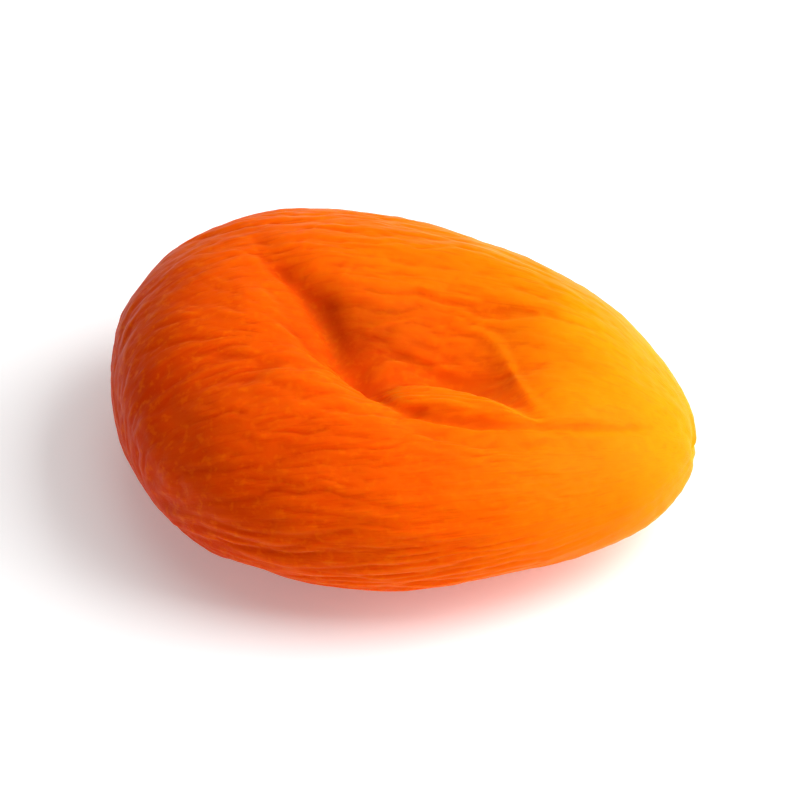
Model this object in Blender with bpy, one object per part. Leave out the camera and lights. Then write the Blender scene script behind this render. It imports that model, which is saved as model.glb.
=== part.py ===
"""A whole pitted dried apricot, lying on the flat spot of its underside.

Frame: metres, +Z up, +X along the fruit from its broad stem end to its narrow tip.
The origin is under the middle of the fruit, on the surface that it rests on.
"""

import math

import bmesh
import bpy
from mathutils import Vector

MM = 0.001

# The overall size of the fruit
LENGTH = 36.0 * MM
WIDTH = 30.5 * MM
HEIGHT_ABOVE_WAIST = 7.0 * MM
DEPTH_BELOW_WAIST = 6.6 * MM

# The bare form: a disc with a fat round rim, narrower and thinner towards the tip
CELLS_ALONG_A_CUBE_EDGE = 26
RIM_FULLNESS = 2.35
PLAN_FULLNESS = 2.2
TIP_NARROWING = 0.17
TIP_THINNING = 0.20

# The tip hangs a little lower than the rest
TIP_DROOP = 1.1 * MM
TIP_DROOP_FROM = 7.0 * MM
# Places on the side where the form stands out or falls in: heading in degrees, seen from
# above and turning left from the tip, then the share of the radius, and how narrow it is
SIDE_SHAPES = [
    (-138.0, -0.085, 3.0),
    (172.0, 0.045, 6.0),
    (140.0, 0.02, 5.0),
    (84.0, -0.04, 4.0),
    (-10.0, 0.025, 10.0),
    (-42.0, -0.035, 8.0),
]
# They fade out over the middle of the fruit, inside its half size divided by this
SIDE_SHAPES_FADE = 2.0

# The flat spot is cut this far above the lowest point of the underside
FLAT_SPOT_CUT = 0.42 * MM

# The shallow basin over the place where the stone was
BASIN_CENTRE = Vector((2.6, 0.4)) * MM
BASIN_REACH = Vector((10.7, 8.9)) * MM
BASIN_DEPTH = 2.6 * MM

# A stroke is a crease or, with a depth below zero, a ridge. It is a list of stations:
# x, y, depth and half width, all in mm.
# The valley is where the fruit sank over its missing stone. It comes in from the back of
# the stem end, is deepest at the pit, and runs out towards the tip.
VALLEY = [
    (-10.6, 7.2, 0.15, 1.5),
    (-9.3, 4.9, 0.50, 1.6),
    (-7.6, 2.6, 1.00, 1.7),
    (-5.8, 0.4, 1.70, 1.8),
    (-4.1, -1.2, 2.30, 1.9),
    (-2.0, -2.7, 2.70, 2.0),
    (0.8, -2.9, 2.10, 2.0),
    (3.6, -2.7, 1.40, 2.0),
    (6.6, -2.8, 0.80, 1.8),
    (9.2, -3.8, 0.30, 1.4),
]
# The suture is the narrow crease that runs from the tip along the front into the pit.
SUTURE = [
    (18.8, 0.4, 0.20, 0.9),
    (16.8, -1.0, 0.25, 1.0),
    (14.3, -2.9, 0.35, 1.1),
    (11.9, -4.5, 0.50, 1.0),
    (9.6, -5.9, 0.75, 1.0),
    (7.4, -6.9, 1.00, 0.9),
    (4.4, -7.5, 1.10, 0.9),
    (1.6, -7.1, 0.90, 0.9),
    (-0.4, -5.8, 0.50, 0.9),
    (-1.9, -4.0, 0.10, 0.9),
]
# The lip is the tongue of skin that lies between the suture and the valley.
LIP = [
    (0.4, -5.0, -0.10, 0.8),
    (3.2, -5.4, -0.50, 1.2),
    (6.2, -5.4, -0.55, 1.2),
    (9.0, -5.2, -0.15, 0.8),
]
# The fold that closes the basin on the side of the tip
BASIN_FOLD = [
    (4.4, 3.2, 0.04, 1.0),
    (5.4, 1.2, 0.16, 0.9),
    (6.8, -1.2, 0.14, 0.9),
    (9.2, -3.9, 0.04, 0.8),
]
# Two furrows that the skin shrank into, fanning out from the pit over the stem end
UPPER_FURROW = [
    (-4.2, -2.6, 0.20, 0.9),
    (-6.8, -2.8, 0.35, 1.0),
    (-9.4, -3.0, 0.25, 1.0),
    (-12.4, -3.8, 0.05, 0.9),
]
LOWER_FURROW = [
    (-3.2, -4.2, 0.15, 0.9),
    (-5.8, -4.9, 0.35, 1.0),
    (-9.0, -5.4, 0.35, 1.1),
    (-12.2, -5.4, 0.05, 0.9),
]
SAMPLES_BETWEEN_STATIONS = 6
# A stroke fades out below this band of heights, so that none of it reaches the underside
STROKE_FADE_LOW = 4.0 * MM
STROKE_FADE_HIGH = 8.0 * MM

SKIN_COLOUR = (0.90, 0.27, 0.01, 1.0)
SKIN_ROUGHNESS = 0.45


def smooth_step(low, high, value):
    """0 below low, 1 above high, and an even S between them."""
    share = min(1.0, max(0.0, (value - low) / (high - low)))
    return share * share * (3.0 - 2.0 * share)


def through_stations(stations):
    """Points on one smooth curve through the stations, each x, y, depth and half width."""
    points = []
    for i in range(len(stations) - 1):
        before = Vector(stations[max(i - 1, 0)])
        start = Vector(stations[i])
        end = Vector(stations[i + 1])
        after = Vector(stations[min(i + 2, len(stations) - 1)])
        for k in range(SAMPLES_BETWEEN_STATIONS):
            t = k / SAMPLES_BETWEEN_STATIONS
            points.append(
                0.5 * (2.0 * start
                       + (end - before) * t
                       + (2.0 * before - 5.0 * start + 4.0 * end - after) * t ** 2
                       + (3.0 * start - before - 3.0 * end + after) * t ** 3)
            )
    points.append(Vector(stations[-1]))
    return [point * MM for point in points]


def stroke_depth(curve, x, y):
    """How deep a stroke along the curve presses the skin in at x, y."""
    nearest = None
    for start, end in zip(curve, curve[1:]):
        along = end.xy - start.xy
        share = (Vector((x, y)) - start.xy).dot(along) / along.length_squared
        point = start.lerp(end, min(1.0, max(0.0, share)))
        away = math.hypot(x - point.x, y - point.y)
        if nearest is None or away < nearest[0]:
            nearest = (away, point)
    away, point = nearest
    depth, half_width = point[2], point[3]
    return depth / (1.0 + (away / half_width) ** 2) ** 2


def on_bare_form(direction):
    """The point of the bare form that lies in this direction from its middle."""
    ahead, aside, up = (abs(share) for share in direction)
    out = (ahead ** PLAN_FULLNESS + aside ** PLAN_FULLNESS) ** (1.0 / PLAN_FULLNESS)
    size = (out ** RIM_FULLNESS + up ** RIM_FULLNESS) ** (1.0 / RIM_FULLNESS)
    x, y, z = direction / size
    narrowing = 1.0 - TIP_NARROWING * x
    thinning = 1.0 - TIP_THINNING * x
    depth = HEIGHT_ABOVE_WAIST if z > 0.0 else DEPTH_BELOW_WAIST
    heading = math.atan2(y, x)
    spread = 1.0 + sum(
        share * max(0.0, math.cos(heading - math.radians(middle))) ** narrow
        for middle, share, narrow in SIDE_SHAPES
    ) * min(1.0, SIDE_SHAPES_FADE * math.hypot(x, y))
    along = x * LENGTH / 2.0 * spread
    across = y * WIDTH / 2.0 * narrowing * spread
    droop = TIP_DROOP * smooth_step(TIP_DROOP_FROM, LENGTH / 2.0, along)
    return Vector((along, across, z * depth * thinning - droop))


def basin_depth(x, y):
    """How deep the basin is at x, y."""
    away = math.hypot((x - BASIN_CENTRE.x) / BASIN_REACH.x, (y - BASIN_CENTRE.y) / BASIN_REACH.y)
    return BASIN_DEPTH * (1.0 - smooth_step(0.0, 1.0, away))


def ends(mesh, axis):
    """The lowest and the highest coordinate of the mesh along an axis."""
    coordinates = [vertex.co[axis] for vertex in mesh.verts]
    return min(coordinates), max(coordinates)


def make_fruit():
    """One closed mesh: a cube's cells blown up to the bare form, then pressed in from above."""
    mesh = bmesh.new()
    bmesh.ops.create_cube(mesh, size=2.0)
    bmesh.ops.subdivide_edges(
        mesh, edges=mesh.edges, cuts=CELLS_ALONG_A_CUBE_EDGE - 1, use_grid_fill=True
    )
    for vertex in mesh.verts:
        evened = [math.tan(coordinate * math.pi / 4.0) for coordinate in vertex.co]
        vertex.co = on_bare_form(Vector(evened).normalized())

    lines = [VALLEY, SUTURE, LIP, BASIN_FOLD, UPPER_FURROW, LOWER_FURROW]
    strokes = [through_stations(stations) for stations in lines]
    floor = -DEPTH_BELOW_WAIST + FLAT_SPOT_CUT
    for vertex in mesh.verts:
        x, y, z = vertex.co
        height = z - floor
        if z > 0.0:
            press = basin_depth(x, y) + sum(stroke_depth(curve, x, y) for curve in strokes)
            height -= press * smooth_step(STROKE_FADE_LOW, STROKE_FADE_HIGH, height)
        vertex.co.z = max(0.0, height)

    middle = sum(ends(mesh, 0)) / 2.0, sum(ends(mesh, 1)) / 2.0, 0.0
    bmesh.ops.translate(mesh, verts=mesh.verts, vec=-Vector(middle))
    return mesh


def make_skin():
    """The moist orange skin."""
    skin = bpy.data.materials.new("apricot_skin")
    skin.use_nodes = True
    shader = skin.node_tree.nodes["Principled BSDF"]
    shader.inputs["Base Color"].default_value = SKIN_COLOUR
    shader.inputs["Roughness"].default_value = SKIN_ROUGHNESS
    shader.inputs["Metallic"].default_value = 0.0
    return skin


for old in list(bpy.data.objects):
    bpy.data.objects.remove(old, do_unlink=True)

fruit_mesh = bpy.data.meshes.new("dried_apricot")
fruit_form = make_fruit()
fruit_form.to_mesh(fruit_mesh)
fruit_form.free()
fruit_mesh.materials.append(make_skin())
fruit_mesh.shade_smooth()
bpy.context.scene.collection.objects.link(bpy.data.objects.new("dried_apricot", fruit_mesh))
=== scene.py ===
# %% [markdown]
# # A dried apricot, finished
# This notebook gives one whole dried apricot its skin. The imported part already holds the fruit's
# size, its basin and its main creases, as one coarse solid. Here a fine skin is wrapped over that
# solid, the creases are sharpened, the skin is wrinkled as drying wrinkles it, and then it gets a
# moist, translucent orange finish.

# %% The fixed frame
import math

import bpy
import numpy as np
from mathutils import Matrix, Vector, noise
from mathutils.bvhtree import BVHTree


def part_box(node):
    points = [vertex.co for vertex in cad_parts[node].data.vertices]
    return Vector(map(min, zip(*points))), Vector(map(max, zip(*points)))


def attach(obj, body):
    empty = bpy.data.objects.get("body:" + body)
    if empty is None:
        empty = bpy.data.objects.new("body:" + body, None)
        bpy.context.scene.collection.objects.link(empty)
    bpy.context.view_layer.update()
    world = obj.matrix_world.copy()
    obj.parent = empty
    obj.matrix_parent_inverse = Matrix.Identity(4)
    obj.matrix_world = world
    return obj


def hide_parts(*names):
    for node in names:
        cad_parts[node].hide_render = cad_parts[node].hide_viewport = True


MM = 0.001
NODE = "dried_apricot"
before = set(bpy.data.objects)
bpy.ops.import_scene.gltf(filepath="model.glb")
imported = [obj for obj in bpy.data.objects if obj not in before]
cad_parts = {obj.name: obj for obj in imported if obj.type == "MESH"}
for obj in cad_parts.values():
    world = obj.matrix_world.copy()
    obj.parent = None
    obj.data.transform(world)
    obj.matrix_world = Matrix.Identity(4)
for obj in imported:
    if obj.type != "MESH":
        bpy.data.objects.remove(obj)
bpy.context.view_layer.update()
low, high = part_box(NODE)
half_size = (high - low) / 2
middle = (high + low) / 2
print(f"the fruit is {[round(side * 2 / MM, 1) for side in half_size]} mm")

# %% [markdown]
# ## Where the camera stands
# The fruit is seen from its front, a little from the tip's side, and from well above, so that
# the whole face with the basin shows. A long lens from some way off keeps both ends of the fruit
# the same size, as they are in a studio picture of small things.

# %% The camera
CAMERA_HEADING = math.radians(13.0)
CAMERA_HEIGHT = math.radians(40.0)
CAMERA_AWAY = 0.42
NEAREST_SEEN = 0.0042
VIEW_WIDTH = 0.0485
SENSOR = 36.0


def place(obj, at, towards):
    """Stands a camera or a lamp at a point and turns it towards another."""
    obj.location = at
    obj.rotation_mode = "QUATERNION"
    obj.rotation_quaternion = (towards - at).to_track_quat("-Z", "Y")


towards_camera = Vector((
    math.sin(CAMERA_HEADING) * math.cos(CAMERA_HEIGHT),
    -math.cos(CAMERA_HEADING) * math.cos(CAMERA_HEIGHT),
    math.sin(CAMERA_HEIGHT),
))
bpy.ops.object.camera_add()
camera = bpy.context.object
camera.data.sensor_width = SENSOR
camera.data.lens = SENSOR * CAMERA_AWAY / VIEW_WIDTH
camera.data.clip_start = NEAREST_SEEN
place(camera, middle + towards_camera * CAMERA_AWAY, middle)
bpy.context.scene.camera = camera
print(f"a {camera.data.lens:.0f} mm lens, {CAMERA_AWAY / MM:.0f} mm away")

# %% [markdown]
# ## A blank in the shape of the fruit
# A fruit with no edges is best made from a ball of even, four-sided cells, because a ball with
# poles would pucker at them. A cube is cut into cells, blown up into a ball and squeezed to
# the fruit's size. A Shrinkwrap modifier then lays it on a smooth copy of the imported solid, and
# a Subdivision Surface makes the cells small enough for wrinkles.

# %% Helpers for working on one piece
def select_only(obj):
    """Makes obj the one selected and active object."""
    bpy.ops.object.select_all(action="DESELECT")
    obj.select_set(True)
    bpy.context.view_layer.objects.active = obj


def apply_modifier(obj, kind, **settings):
    """Adds a modifier with these settings, and applies it."""
    select_only(obj)
    modifier = obj.modifiers.new(kind.title(), kind)
    for name, value in settings.items():
        setattr(modifier, name, value)
    bpy.ops.object.modifier_apply(modifier=modifier.name)


def points_of(obj):
    """The vertices of obj as an array of rows x, y, z."""
    points = np.empty(len(obj.data.vertices) * 3)
    obj.data.vertices.foreach_get("co", points)
    return points.reshape(-1, 3)


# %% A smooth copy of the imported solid, to wrap the skin on
MERGE = 0.001 * MM
FLAT_ENOUGH = math.radians(60)
MOULD_LEVELS = 2

select_only(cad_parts[NODE])
bpy.ops.object.duplicate()
mould = bpy.context.object
mould.name = "mould"
bpy.ops.object.mode_set(mode="EDIT")
bpy.ops.mesh.select_all(action="SELECT")
bpy.ops.mesh.remove_doubles(threshold=MERGE)
bpy.ops.mesh.tris_convert_to_quads(face_threshold=FLAT_ENOUGH, shape_threshold=FLAT_ENOUGH)
bpy.ops.object.mode_set(mode="OBJECT")
apply_modifier(mould, "SUBSURF", levels=MOULD_LEVELS, render_levels=MOULD_LEVELS)
print(f"the mould has {len(mould.data.polygons)} faces")

# %% The skin starts as an even ball
CELLS = 30
FINE_LEVELS = 2

bpy.ops.object.select_all(action="DESELECT")
bpy.ops.mesh.primitive_cube_add(size=2)
skin = bpy.context.object
skin.name = "apricot"
bpy.ops.object.mode_set(mode="EDIT")
bpy.ops.mesh.subdivide(number_cuts=CELLS - 1)
bpy.ops.transform.tosphere(value=1)
bpy.ops.object.mode_set(mode="OBJECT")
ball_radius = skin.data.vertices[0].co.length
bpy.ops.object.duplicate()
ball = bpy.context.object
apply_modifier(ball, "SUBSURF", levels=FINE_LEVELS, render_levels=FINE_LEVELS)
ball_points = points_of(ball)
ball_points /= np.linalg.norm(ball_points, axis=1)[:, None]
bpy.data.objects.remove(ball)
print(f"the ball has {len(ball_points)} points")

# %% The ball is squeezed to the fruit's size and laid on the mould
select_only(skin)
bpy.ops.object.mode_set(mode="EDIT")
bpy.ops.mesh.select_all(action="SELECT")
bpy.ops.transform.resize(value=half_size / ball_radius, center_override=(0, 0, 0))
bpy.ops.transform.translate(value=middle)
bpy.ops.object.mode_set(mode="OBJECT")
apply_modifier(skin, "SHRINKWRAP", target=mould, wrap_method="TARGET_PROJECT")
apply_modifier(skin, "SUBSURF", levels=FINE_LEVELS, render_levels=FINE_LEVELS)
bpy.data.objects.remove(mould)
print(f"the skin has {len(skin.data.polygons)} cells")

# %% [markdown]
# ## Creases and folds, pressed in one stroke at a time
# A sculptor draws a crease with one stroke of a tool. Here a stroke is a list of stations on the
# upper face, each with its place, its depth and how far it reaches to its right and to its left,
# in millimetres, and a smooth curve runs through them. A station with one reach has it on both
# sides. The skin near the curve gets a weight, as if painted, and a Displace modifier presses it
# down by that weight. A depth below zero raises a ridge. A short reach on one side and a long one
# on the other make a wall with a slope behind it, which is how a sunken skin hangs from its rim.

# %% The stroke tool
STEP = 0.5 * MM
CAST_HEIGHT = 0.05
REACHES_FELT = 4.0
BLUNTNESS = 0.1 * MM
TINY = 1e-12


def through(stations):
    """Points close together on one smooth curve through the stations."""
    rows = [Vector(station) for station in stations]
    rows = [rows[0], *rows, rows[-1]]
    points = []
    for before, start, end, after in zip(rows, rows[1:], rows[2:], rows[3:]):
        count = max(2, int((end.xy - start.xy).length * MM / STEP))
        for k in range(count):
            t = k / count
            points.append(
                0.5 * (2 * start + (end - before) * t
                       + (2 * before - 5 * start + 4 * end - after) * t ** 2
                       + (3 * start - before - 3 * end + after) * t ** 3)
            )
    return [point * MM for point in [*points, rows[-1]]]


def dropped_on(obj, stations):
    """Rows x, y, z, depth, right and left reach, on the upper skin of obj."""
    tree = BVHTree.FromObject(obj, bpy.context.evaluated_depsgraph_get())
    rows = []
    for x, y, *sizes in through(stations):
        hit = tree.ray_cast(Vector((x, y, CAST_HEIGHT)), Vector((0, 0, -1)))[0]
        if hit is not None:
            rows.append([*hit, *sizes])
    return np.array(rows)


def press(obj, weights, strength, direction="NORMAL"):
    """Moves each point of obj by its weight, along its normal or up and down."""
    group = obj.vertex_groups.new(name="pressed")
    for index in np.nonzero(weights)[0]:
        group.add([int(index)], float(weights[index]), "REPLACE")
    apply_modifier(
        obj, "DISPLACE", vertex_group=group.name, direction=direction, mid_level=0, strength=strength
    )
    obj.vertex_groups.remove(obj.vertex_groups["pressed"])


def stroke(obj, stations):
    """Presses one crease into obj, or raises one ridge."""
    curve = dropped_on(obj, [[*row, row[-1]] if len(row) == 4 else row for row in stations])
    points = points_of(obj)
    room = REACHES_FELT * curve[:, 4:].max()
    inside = (points > curve[:, :3].min(axis=0) - room) & (points < curve[:, :3].max(axis=0) + room)
    chosen = np.nonzero(inside.all(axis=1))[0]

    starts, runs = curve[:-1], np.diff(curve, axis=0)
    offsets = points[chosen, None, :] - starts[None, :, :3]
    run_squares = (runs[:, :3] ** 2).sum(axis=1) + TINY
    share = np.clip((offsets * runs[:, :3]).sum(axis=2) / run_squares, 0, 1)
    squares = ((offsets - share[..., None] * runs[None, :, :3]) ** 2).sum(axis=2)
    to_the_right = runs[:, 0] * offsets[..., 1] - runs[:, 1] * offsets[..., 0] < 0

    depths = starts[:, 3] + share * runs[:, 3]
    right_reach = starts[:, 4] + share * runs[:, 4]
    left_reach = starts[:, 5] + share * runs[:, 5]
    reach = np.where(to_the_right, right_reach, left_reach)
    nearness = (squares + BLUNTNESS ** 2) ** -3
    nearness /= nearness.sum(axis=1)[:, None]
    away = np.sqrt(squares.min(axis=1)) / (nearness * reach).sum(axis=1)
    pressed = (nearness * depths).sum(axis=1) / (1 + away ** 2) ** 2

    deepest = curve[np.argmax(np.abs(curve[:, 3])), 3]
    weights = np.zeros(len(points))
    weights[chosen] = np.clip(pressed / deepest, 0, 1)
    press(obj, weights, -deepest, "Z")


# %% [markdown]
# ## The strokes of this fruit
# The stone was squeezed out before drying, so the fruit sank over it. Its rim is one long line:
# it comes in from the back, turns sharply at the pit, and goes on as the suture, the narrow
# crease that every apricot has. A lip of skin lies along the suture, and folds lie in the basin.
# At the end a light Smooth takes the stair steps out of the pressed skin.

# %% The creases of the upper face
SOFTENING = {"factor": 0.5, "iterations": 2}
STROKES = {
    "rim": [
        (-10.6, 6.4, 0.04, 0.6, 0.8), (-9.4, 4.4, 0.20, 0.5, 1.1), (-7.8, 3.0, 0.45, 0.5, 1.4),
        (-6.0, 1.7, 0.75, 0.5, 1.7), (-4.6, -0.1, 1.05, 0.5, 2.0), (-3.3, -2.3, 1.30, 0.5, 2.1),
        (-2.0, -3.9, 1.35, 0.5, 1.8), (-0.6, -5.2, 0.85, 0.5, 1.1), (0.9, -6.4, 0.50, 0.4, 0.8),
        (3.0, -6.9, 0.46, 0.3, 0.8), (5.4, -6.7, 0.42, 0.3, 0.8), (7.6, -6.1, 0.34, 0.3, 0.6),
        (9.7, -5.2, 0.22, 0.35, 0.5), (11.9, -4.0, 0.18, 0.35, 0.5), (14.2, -2.5, 0.15, 0.35, 0.5),
        (16.6, -0.4, 0.08, 0.35, 0.5),
    ],
    "front_edge": [
        (3.6, -7.8, -0.02, 0.5), (7.4, -7.0, -0.12, 0.5), (9.7, -6.1, -0.16, 0.5),
        (11.9, -4.9, -0.16, 0.5), (14.2, -3.4, -0.14, 0.5), (16.6, -1.3, -0.04, 0.5),
    ],
    "lip_edge": [
        (-1.0, -3.6, 0.05, 0.5, 0.9), (0.6, -3.1, 0.55, 0.5, 1.3), (3.0, -2.5, 0.70, 0.5, 1.5),
        (5.3, -2.8, 0.60, 0.5, 1.4), (7.8, -3.9, 0.30, 0.5, 1.0), (9.8, -4.7, 0.05, 0.4, 0.7),
    ],
    "lip": [
        (0.0, -4.9, -0.10, 0.9), (2.8, -4.4, -0.55, 1.2), (5.4, -4.4, -0.60, 1.2),
        (7.8, -4.9, -0.32, 0.9), (9.6, -5.1, -0.04, 0.7),
    ],
    "end_of_the_basin": [
        (10.2, -4.3, -0.02, 0.4), (8.8, -3.1, -0.16, 0.4), (7.3, -1.0, -0.22, 0.4),
        (6.5, 0.4, -0.22, 0.4), (5.5, 1.8, -0.18, 0.4), (4.0, 2.9, -0.04, 0.4),
    ],
    "back_of_the_basin": [
        (8.8, 4.2, 0.02, 0.35, 0.8), (7.0, 4.6, 0.10, 0.3, 1.1), (4.8, 4.5, 0.18, 0.3, 1.4),
        (2.6, 4.5, 0.22, 0.3, 1.4), (0.2, 4.4, 0.16, 0.35, 1.2), (-1.4, 3.4, 0.02, 0.4, 1.0),
    ],
    "floor_ridge": [
        (-2.9, 0.2, -0.04, 0.5), (-1.6, 0.9, -0.22, 0.5),
        (-0.2, 1.9, -0.22, 0.5), (1.2, 3.2, -0.04, 0.5),
    ],
    "floor_fold": [
        (-2.2, -1.7, 0.04, 0.4, 0.7), (-0.9, -0.7, 0.28, 0.4, 0.8), (0.9, -0.6, 0.30, 0.4, 0.8),
        (2.6, -1.2, 0.20, 0.4, 0.7), (4.4, -2.2, 0.04, 0.4, 0.6),
    ],
    "floor_crossing": [
        (4.6, 0.9, 0.04, 0.4), (3.0, 0.6, 0.18, 0.5), (1.4, 0.9, 0.18, 0.5), (0.2, 0.4, 0.04, 0.4),
    ],
    "shoulder_furrow": [
        (-3.6, -3.9, 0.04, 0.4), (-5.6, -4.7, 0.20, 0.5),
        (-8.4, -5.0, 0.22, 0.6), (-11.6, -4.6, 0.04, 0.6),
    ],
    "shoulder_crossing": [
        (-4.6, -7.4, 0.04, 0.5), (-7.0, -6.8, 0.20, 0.6),
        (-9.6, -7.0, 0.22, 0.6), (-12.6, -8.2, 0.04, 0.6),
    ],
    "back_furrow": [
        (-6.8, 3.0, 0.04, 0.5), (-4.8, 4.6, 0.20, 0.6), (-2.0, 6.0, 0.20, 0.7), (1.6, 7.0, 0.04, 0.7),
    ],
}
for stations in STROKES.values():
    stroke(skin, stations)
apply_modifier(skin, "SMOOTH", **SOFTENING)
print(f"{len(STROKES)} creases and folds pressed in")

# %% [markdown]
# ## Which way the wrinkles run
# Skin that dries wrinkles along lines. On this fruit most lines gather low on the stem end, run
# along the front and the back, and gather again at the tip. Those of the shoulder fan out from
# the pit instead. Two numbers describe a point: which line it lies on, as a turn about the chord
# between the two gathering places on an even ball, and how far along the line it is. Where the
# lines crowd together, fewer of them are used.

# %% Line coordinates over the skin
STEM = Vector((-13.2, -9.6, 2.8)) * MM
PIT = Vector((-2.2, -4.0, 8.6)) * MM
TIP = Vector((18.3, 0.4, 5.6)) * MM
POLE = 0.02


def line_coordinates(points, start):
    """Each point's turn about the chord, its way along its line, and its distance from the chord."""
    first_end, tip = (
        ball_points[np.argmin(np.linalg.norm(points - np.array(at), axis=1))] for at in (start, TIP)
    )
    axis = (tip - first_end) / np.linalg.norm(tip - first_end)
    out = ball_points - first_end
    out -= np.outer(out @ axis, axis)
    side = np.cross(axis, (0.0, 0.0, 1.0))
    side /= np.linalg.norm(side)
    turn = np.arctan2(out @ np.cross(axis, side), out @ side)
    from_start = np.linalg.norm(ball_points - first_end, axis=1) + POLE
    from_tip = np.linalg.norm(ball_points - tip, axis=1) + POLE
    return turn, np.log(from_start / from_tip), np.linalg.norm(out, axis=1)


smooth_points = points_of(skin)
main_lines = line_coordinates(smooth_points, STEM)
shoulder_lines = line_coordinates(smooth_points, PIT)
print(f"{len(smooth_points)} points have their place on a line")

# %% [markdown]
# ## The wrinkles
# A wrinkle is a narrow valley between two puffed ridges, so its height is the distance of a
# noise from zero. The noise is stretched along the lines and bent a little, and three sizes are
# laid over each other. They are strong round the pit, on the shoulder of the stem end and along
# the front, and faint towards the tip, where the skin stayed taut, but for a few at its very end.

# %% How strong the wrinkles are
WRINKLED_EVERYWHERE = 0.30
WRINKLED_MORE = {
    "shoulder": (0.34, (-9, -5, 10), (9, 7, 6)),
    "front": (0.36, (-1, -14, 6), (11, 7, 6)),
    "pit": (0.40, (1, -1, 10), (7, 5, 4)),
    "back": (0.25, (-7, 8, 11), (8, 5, 5)),
}
TAUT_SHARE = 0.55
TAUT_FROM, TAUT_TO = 4 * MM, 15 * MM
AT_THE_TIP = (0.25, TIP / MM, (3, 3, 3))


def smooth(low, high, value):
    """0 below low, 1 above high, and an even S between them."""
    share = np.clip((value - low) / (high - low), 0, 1)
    return share * share * (3 - 2 * share)


def near(points, at, reach):
    """1 at a place, falling off smoothly round it; the place and the reach are in mm."""
    away = (points - np.array(at) * MM) / (np.array(reach) * MM)
    return np.exp(-(away ** 2).sum(axis=1))


def wrinkle_strength(points):
    """A share for each point of how strongly its skin is wrinkled."""
    share = WRINKLED_EVERYWHERE
    for more, at, reach in WRINKLED_MORE.values():
        share = share + more * near(points, at, reach)
    share *= 1 - TAUT_SHARE * smooth(TAUT_FROM, TAUT_TO, points[:, 0])
    more, at, reach = AT_THE_TIP
    return share + more * near(points, at, reach)


# %% The height of the wrinkles along one set of lines
SEED = 11.0
SEED_STEP = 7
WRINKLES = [(0.30, 2.0), (0.17, 1.0), (0.09, 0.6)]
STRETCH = 5.0
CALM_ROUND_A_START = (0.6 * MM, 3.5 * MM)
FULL_PUFF = 0.4
LONG_BEND, LONG_BENDS_SCALE = 0.11, 170
SHORT_BEND, SHORT_BENDS_SCALE = 0.035, 520


def line_noise(place, turn, along, count, seed):
    """A noise in long streaks along the lines, with about count of them round the fruit."""
    bend = LONG_BEND * noise.noise(place * LONG_BENDS_SCALE + Vector((seed, 0, 0)))
    bend += SHORT_BEND * noise.noise(place * SHORT_BENDS_SCALE + Vector((0, seed, 0)))
    lean = turn + bend
    return noise.noise(Vector((count * math.cos(lean), count * math.sin(lean), along + seed)))


def puffed(value):
    """A noise's distance from zero as a height: flat on the ridges, narrow in the valleys."""
    return np.minimum(np.abs(value), FULL_PUFF) / FULL_PUFF - 0.5


def wrinkle_height(points, lines, start):
    """The height of the wrinkles along one set of lines, in metres, level at its start."""
    height = np.zeros(len(points))
    mean_radius = float(np.mean(half_size))
    for i, (turn, along, room) in enumerate(zip(*lines)):
        place = Vector(points[i])
        for depth, spacing in WRINKLES:
            octave = math.log2(max(room * mean_radius / (spacing * MM), 1.0))
            coarse = math.floor(octave)
            value = 0.0
            for level, share in ((coarse, 1 - octave + coarse), (coarse + 1, octave - coarse)):
                count = 2.0 ** level
                seed = SEED + SEED_STEP * level
                value += share * abs(line_noise(place, turn, along * count / STRETCH, count, seed))
            height[i] += depth * MM * puffed(value)
    return height * smooth(*CALM_ROUND_A_START, np.linalg.norm(points - np.array(start), axis=1))


# %% The wrinkles of the whole fruit
SHOULDER, SHOULDER_REACH = (-9.5, -2.6, 12.0), (7.0, 6.0, 6.0)
SHOULDER_EDGE = (0.15, 0.65)

on_shoulder = smooth(*SHOULDER_EDGE, near(smooth_points, SHOULDER, SHOULDER_REACH))
wrinkles = (1 - on_shoulder) * wrinkle_height(smooth_points, main_lines, STEM)
wrinkles += on_shoulder * wrinkle_height(smooth_points, shoulder_lines, PIT)
wrinkles *= wrinkle_strength(smooth_points)
print(f"the wrinkles are {(wrinkles.max() - wrinkles.min()) / MM:.2f} mm high in all")

# %% [markdown]
# ## Crumple, pebbles, lumps and a scar
# Between its wrinkles the skin is crumpled without any order, most on the shoulder and by the pit,
# and pebbly to the touch, and the flesh under it dried a little unevenly. The tip keeps the small
# scar of the flower. All of it is one height with the wrinkles, and one Displace modifier presses
# the skin in by it, so that the fruit never grows past its size. The flat spot stays as it is.

# %% The skin is pressed in by its height
CRUMPLE, CRUMPLE_SCALE = 0.08 * MM, (420, 900, 700)
CRUMPLED_EVERYWHERE = 0.30
CRUMPLED_MORE = {
    "shoulder": (0.5, (-7, -6, 11), (6, 6, 6)),
    "pit": (0.3, (0, -2, 10), (6, 4, 4)),
}
PEBBLES, PEBBLE_SCALE = 0.03 * MM, (1500, 1500, 1500)
LUMPS, LUMP_SCALE = 0.16 * MM, (230, 230, 230)
TIP_SCAR, TIP_SCAR_REACH = 0.25 * MM, (0.7, 0.7, 0.7)
FLAT_SPOT_FADE = 1.4 * MM


def noise_of(points, scales):
    """A smooth noise at each point, from about -1 to 1, with its own scale along each axis."""
    return np.array([noise.noise(Vector(row)) for row in points * np.array(scales)])


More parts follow.
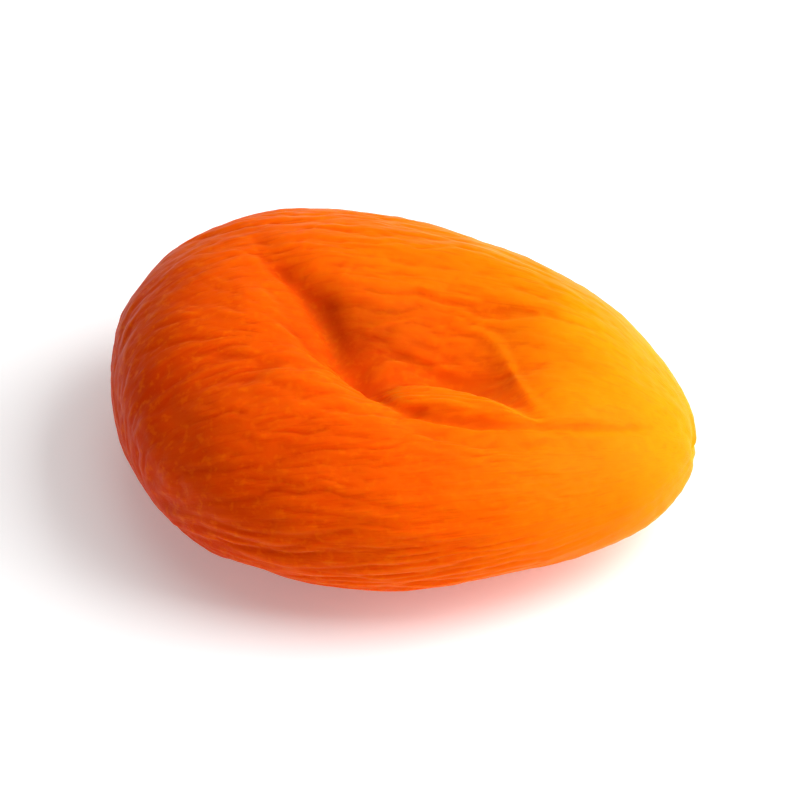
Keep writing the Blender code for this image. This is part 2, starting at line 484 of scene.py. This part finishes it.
crumpled = CRUMPLED_EVERYWHERE
for more, at, reach in CRUMPLED_MORE.values():
    crumpled = crumpled + more * near(smooth_points, at, reach)
raised = wrinkles + CRUMPLE * crumpled * puffed(noise_of(smooth_points, CRUMPLE_SCALE))
raised += PEBBLES * noise_of(smooth_points, PEBBLE_SCALE)
raised += LUMPS * noise_of(smooth_points, LUMP_SCALE)
raised -= TIP_SCAR * near(smooth_points, TIP / MM, TIP_SCAR_REACH)
pressed_in = (raised.max() - raised) * smooth(0, FLAT_SPOT_FADE, smooth_points[:, 2])
press(skin, pressed_in, -1.0)
print(f"the skin moved in by at most {pressed_in.max() / MM:.2f} mm")

# %% [markdown]
# ## What the finish needs to know of the form
# The floor of a crease is painted redder and darker than its ridges, as painted shade, and the
# ridges are painted lighter, as painted light. So each point keeps how far it lies below the skin
# around it, once for wide hollows and once for narrow wrinkles, and it keeps its line coordinates,
# which the finest wrinkles of the finish follow.

# %% Hollows, wrinkles and lines, kept as attributes
WIDE_ROUNDS, WIDE_DEPTH = 240, 0.55 * MM
FINE_ROUNDS, FINE_DEPTH = 14, 0.05 * MM
LINES_ROUND = 60.0
LINES_ALONG = 9.0


def hollowness(obj, rounds, depth):
    """How far each point lies below a smoothed copy: 0.5 is level and 1 is depth below it."""
    copy = obj.copy()
    copy.data = obj.data.copy()
    bpy.context.collection.objects.link(copy)
    apply_modifier(copy, "SMOOTH", factor=1, iterations=rounds)
    normals = np.empty(len(obj.data.vertices) * 3)
    obj.data.vertices.foreach_get("normal", normals)
    below = ((points_of(copy) - points_of(obj)) * normals.reshape(-1, 3)).sum(axis=1)
    bpy.data.objects.remove(copy)
    return np.clip(0.5 + below / (2 * depth), 0, 1)


def keep(obj, name, kind, field, values):
    """Stores a value of each point on the mesh."""
    layer = obj.data.attributes.new(name, kind, "POINT")
    layer.data.foreach_set(field, np.ascontiguousarray(values, dtype=np.float32).ravel())


keep(skin, "hollow", "FLOAT", "value", hollowness(skin, WIDE_ROUNDS, WIDE_DEPTH))
keep(skin, "wrinkle", "FLOAT", "value", hollowness(skin, FINE_ROUNDS, FINE_DEPTH))
turn, along, _ = main_lines
lines = (LINES_ROUND * np.cos(turn), LINES_ROUND * np.sin(turn), LINES_ALONG * along)
keep(skin, "lines", "FLOAT_VECTOR", "vector", np.stack(lines, axis=1))
print(f"kept {[layer.name for layer in skin.data.attributes if layer.data_type.startswith('FLOAT')]}")

# %% The skin is smooth, and rides on the one body
select_only(skin)
bpy.ops.object.shade_smooth()
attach(skin, "root")
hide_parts(NODE)

# %% [markdown]
# ## Shader maths in plain expressions
# A material is a graph of nodes, and sums in it are clearer as sums. This small class wraps a
# socket, so that adding or multiplying two of them makes the Math node, and its node method
# makes any other node.

# %% A socket that takes part in sums
class Wire:
    """An output socket of a shader node."""

    def __init__(self, socket):
        self.socket = socket

    def node(self, kind, settings=None, values=None, output=0):
        """A new node, with its settings, then its sockets' values or links, as a Wire."""
        tree = self.socket.id_data
        made = tree.nodes.new(kind)
        for name, value in (settings or {}).items():
            if name == "stops":
                ramp = made.color_ramp
                while len(ramp.elements) < len(value):
                    ramp.elements.new(1)
                for element, (place_on_ramp, colour) in zip(ramp.elements, value):
                    element.position = place_on_ramp
                    element.color = (*colour, 1)
            else:
                setattr(made, name, value)
        for name, value in (values or {}).items():
            if isinstance(value, Wire):
                tree.links.new(value.socket, made.inputs[name])
            else:
                made.inputs[name].default_value = value
        return Wire(made.outputs[output])

    def math(self, operation, first, second):
        """A Math node on two numbers or Wires."""
        return self.node("ShaderNodeMath", {"operation": operation}, {0: first, 1: second})

    def __add__(self, other):
        return self.math("ADD", self, other)

    def __radd__(self, other):
        return self.math("ADD", other, self)

    def __sub__(self, other):
        return self.math("SUBTRACT", self, other)

    def __rsub__(self, other):
        return self.math("SUBTRACT", other, self)

    def __mul__(self, other):
        return self.math("MULTIPLY", self, other)

    def __rmul__(self, other):
        return self.math("MULTIPLY", other, self)

    def band(self, low, high):
        """0 below low, 1 above high, and an even S between them."""
        return self.node(
            "ShaderNodeMapRange", {"interpolation_type": "SMOOTHSTEP"},
            {"Value": self, "From Min": low, "From Max": high},
        )

    def blend(self, first, second):
        """The first colour where this is 0, the second where it is 1."""
        return self.node(
            "ShaderNodeMix", {"data_type": "RGBA"}, {0: self, 6: first, 7: second}, output=2
        )

    def mottle(self, scale, detail=2.0):
        """A noise from 0 to 1 on these coordinates."""
        return self.node(
            "ShaderNodeTexNoise", None, {"Vector": self, "Scale": scale, "Detail": detail}
        )

    def attribute(self, name, output):
        """A value or a vector that the mesh keeps at each of its points."""
        return self.node("ShaderNodeAttribute", {"attribute_name": name}, output=output)


def new_material(name):
    """A new material and its Principled shader."""
    material = bpy.data.materials.new(name)
    material.use_nodes = True
    return material, material.node_tree.nodes["Principled BSDF"]


def feed(shader, name, wire):
    """Links a Wire to a socket of the shader."""
    shader.id_data.links.new(wire.socket, shader.inputs[name])


# %% [markdown]
# ## The moist skin
# A dried apricot glows: light enters the flesh, loses its blue at once and its green soon, and
# comes out red. The Subsurface settings do that. The colour itself runs from a burnt orange at
# the stem end to honey at the tip, and clouds in it make it a little uneven. This run is partly
# the fruit's own ripening and partly painted light: paler and yellower towards the lit tip, back
# and top, and darker and redder at the stem end and low down, as painted shade.

# %% The ripening colours with painted light and shade, along the fruit
BURNT = (0.66, 0.038, 0.0005)
ORANGE = (0.93, 0.116, 0.0010)
AMBER = (1.00, 0.205, 0.0012)
HONEY = (1.00, 0.320, 0.0020)
RIPENING_AND_LIGHT = [(0.0, BURNT), (0.45, ORANGE), (0.78, AMBER), (1.0, HONEY)]
RIPE_AND_LIT_AT_ORIGIN = 0.45
RIPER_AND_LIT_TO_TIP, RIPER_AND_LIT_TO_BACK, RIPER_AND_LIT_UP = 27.0, 16.0, 11.0
CLOUD_SCALE, CLOUDINESS = 180.0, 0.30

material, shader = new_material("apricot_skin")
place_in_object = Wire(material.node_tree.nodes.new("ShaderNodeTexCoord").outputs["Object"])
axes = place_in_object.node("ShaderNodeSeparateXYZ", None, {0: place_in_object})
x_axis, y_axis, z_axis = (Wire(axes.socket.node.outputs[i]) for i in range(3))
clouds = place_in_object.mottle(CLOUD_SCALE, detail=3.0)
# Ripeness and painted light together: paler towards the tip, the back and the top, where the light
# falls, and darker towards the stem end and the floor, as painted shade.
ripeness_and_light = RIPE_AND_LIT_AT_ORIGIN + RIPER_AND_LIT_TO_TIP * x_axis + RIPER_AND_LIT_TO_BACK * y_axis + RIPER_AND_LIT_UP * z_axis
ripeness_and_light += CLOUDINESS * (clouds - 0.5)
flesh = ripeness_and_light.node("ShaderNodeValToRGB", {"stops": RIPENING_AND_LIGHT}, {"Fac": ripeness_and_light})
print(f"the colour runs through {len(RIPENING_AND_LIGHT)} stops")

# %% [markdown]
# ## Painted shade and light on the small forms, and specks
# Hollows and the valleys of wrinkles are painted deeper red as shade, and the ridges are painted
# lighter as light. Paler specks are strewn all over, the flesh's own colour. Round the pit the
# flesh is painted browner as the shade of the basin wall, and the valleys of the finest wrinkles
# are painted as red streaks of shade along the lines, fewer towards the tip.

# %% The painted shade and light of the small forms, and the specks
SHADED_RED = (0.66, 0.032, 0.0005)
PIT_SHADE_BROWN = (0.40, 0.040, 0.0005)
HOLLOW_SHADE_BAND, HOLLOW_SHADE_SHARE = (0.45, 0.95), 0.44
VALLEY_SHADE_BAND, VALLEY_SHADE_SHARE, VALLEY_SHADE_FADE = (0.55, 1.0), 0.28, 10.0
RIDGE_LIGHT_BAND, RIDGE_LIGHT_SHARE = (0.60, 1.0), 0.12
SPECK_SCALE, SPECK_BAND, SPECK_SHARE = 1900.0, (0.50, 0.75), 0.26
PIT_SHADE_BAND, PIT_SHADE_SHARE = (1.0 * MM, 7.0 * MM), 0.64
PIT_SHADE_AT, PIT_SHADE_RAGGEDNESS = (-3.4 * MM, 1.2 * MM, 9.0 * MM), 4 * MM
STREAK_SCALE, STREAK_SHADE_BAND, STREAK_SHADE_SHARE, STREAK_SHADE_FADE = 1.0, (0.50, 0.72), 0.26, 8.0

hollow = place_in_object.attribute("hollow", "Fac")
wrinkle = place_in_object.attribute("wrinkle", "Fac")
# Painted shade: wide hollows and creases are painted deeper red.
flesh = (hollow.band(*HOLLOW_SHADE_BAND) * HOLLOW_SHADE_SHARE).blend(flesh, (*SHADED_RED, 1))
# Painted shade: the valleys of the wrinkles are painted deeper red, less of it towards the tip.
shaded_valleys = wrinkle.band(*VALLEY_SHADE_BAND) * (VALLEY_SHADE_SHARE - VALLEY_SHADE_FADE * x_axis)
flesh = shaded_valleys.blend(flesh, (*SHADED_RED, 1))
# Painted light: the ridges of the wrinkles are painted lighter amber.
flesh = ((1 - wrinkle).band(*RIDGE_LIGHT_BAND) * RIDGE_LIGHT_SHARE).blend(flesh, (*AMBER, 1))
specks = place_in_object.mottle(SPECK_SCALE)
flesh = (specks.band(*SPECK_BAND) * SPECK_SHARE).blend(flesh, (*AMBER, 1))
# Painted shade: round the pit the flesh is painted darker brown, where the basin wall lies in shade.
from_pit_shade = place_in_object.node(
    "ShaderNodeVectorMath", {"operation": "DISTANCE"}, {0: place_in_object, 1: PIT_SHADE_AT}, "Value"
)
pit_shade = 1 - (from_pit_shade + PIT_SHADE_RAGGEDNESS * (clouds - 0.5)).band(*PIT_SHADE_BAND)
flesh = (pit_shade * PIT_SHADE_SHARE).blend(flesh, (*PIT_SHADE_BROWN, 1))
streaks = place_in_object.attribute("lines", "Vector").mottle(STREAK_SCALE)
# Painted shade: the valleys of the finest wrinkles are painted as red streaks, fewer towards the tip.
shaded_streaks = streaks.band(*STREAK_SHADE_BAND) * (STREAK_SHADE_SHARE - STREAK_SHADE_FADE * x_axis)
flesh = shaded_streaks.blend(flesh, (*SHADED_RED, 1))
feed(shader, "Base Color", flesh)
# The printed reach is that of the painted shade round the pit.
print(f"the flesh browned {PIT_SHADE_BAND[1] / MM:.0f} mm round the stone's hole")

# %% [markdown]
# ## Gloss, pores and light inside
# The skin is moist but not wet, so its gloss is soft, patchy and faint, a little duller in the
# wrinkles. Pores and the finest wrinkles are too small for the mesh, so a Bump node tilts the
# light over them instead.

# %% Its gloss, its pores and the light inside it
SMOOTHEST, DULLER_PATCHES, DULLER_WRINKLES = 0.30, 0.24, 0.10
GLOSS_SCALE, PORE_SCALE = 420.0, 3200.0
PORES, FINEST_WRINKLES = 0.4, 0.6
BUMP_SHARE, BUMP_HEIGHT = 0.8, 0.06 * MM

gloss = place_in_object.mottle(GLOSS_SCALE, detail=3.0)
feed(shader, "Roughness", SMOOTHEST + DULLER_PATCHES * gloss + DULLER_WRINKLES * wrinkle)
bumps = PORES * place_in_object.mottle(PORE_SCALE) - FINEST_WRINKLES * streaks
tilt = bumps.node(
    "ShaderNodeBump", None, {"Strength": BUMP_SHARE, "Distance": BUMP_HEIGHT, "Height": bumps}
)
feed(shader, "Normal", tilt)
shader.inputs["Specular IOR Level"].default_value = 0.06
shader.inputs["Specular Tint"].default_value = (1.0, 0.45, 0.06, 1)
shader.inputs["Subsurface Weight"].default_value = 1.0
shader.inputs["Subsurface Radius"].default_value = (1.0, 0.30, 0.05)
shader.inputs["Subsurface Scale"].default_value = 1.2 * MM
skin.data.materials.append(material)
print(f"the skin's material has {len(material.node_tree.nodes)} nodes")

# %% [markdown]
# ## A white table and soft light
# The floor is plain white paper, which glows a little so that no shadow on it is deep. One large
# soft light stands at the tip's side, so that the tip glows and the stem end stays deep, a weak
# one hangs overhead, and the room is pale.

# %% The floor
TABLE_SIZE = 4.0
TABLE_GLOW = 0.22

bpy.ops.object.select_all(action="DESELECT")
bpy.ops.mesh.primitive_plane_add(size=TABLE_SIZE)
floor = bpy.context.object
floor.name = "floor"
paper, paper_shader = new_material("floor_paper")
paper_shader.inputs["Base Color"].default_value = (0.92, 0.92, 0.92, 1)
paper_shader.inputs["Roughness"].default_value = 0.7
paper_shader.inputs["Specular IOR Level"].default_value = 0.1
paper_shader.inputs["Emission Color"].default_value = (1, 1, 1, 1)
paper_shader.inputs["Emission Strength"].default_value = TABLE_GLOW
floor.data.materials.append(paper)

# %% The lamps and the room
ROOM = 0.22
LAMPS = {
    "tip_side": ((0.25, 0.06, 0.23), 1.6, 0.30),
    "overhead": ((0.06, 0.00, 0.40), 0.5, 0.35),
}

for name, (at, watts, size) in LAMPS.items():
    bpy.ops.object.light_add(type="AREA")
    lamp = bpy.context.object
    lamp.name = name
    lamp.data.energy = watts
    lamp.data.size = size
    place(lamp, Vector(at), middle)

world = bpy.data.worlds.new("studio")
bpy.context.scene.world = world
world.use_nodes = True
world.node_tree.nodes["Background"].inputs["Color"].default_value = (1, 1, 1, 1)
world.node_tree.nodes["Background"].inputs["Strength"].default_value = ROOM
bpy.context.scene.view_settings.view_transform = "Standard"
print(f"{len(LAMPS)} lamps, {sum(watts for _, watts, _ in LAMPS.values())} W in all")
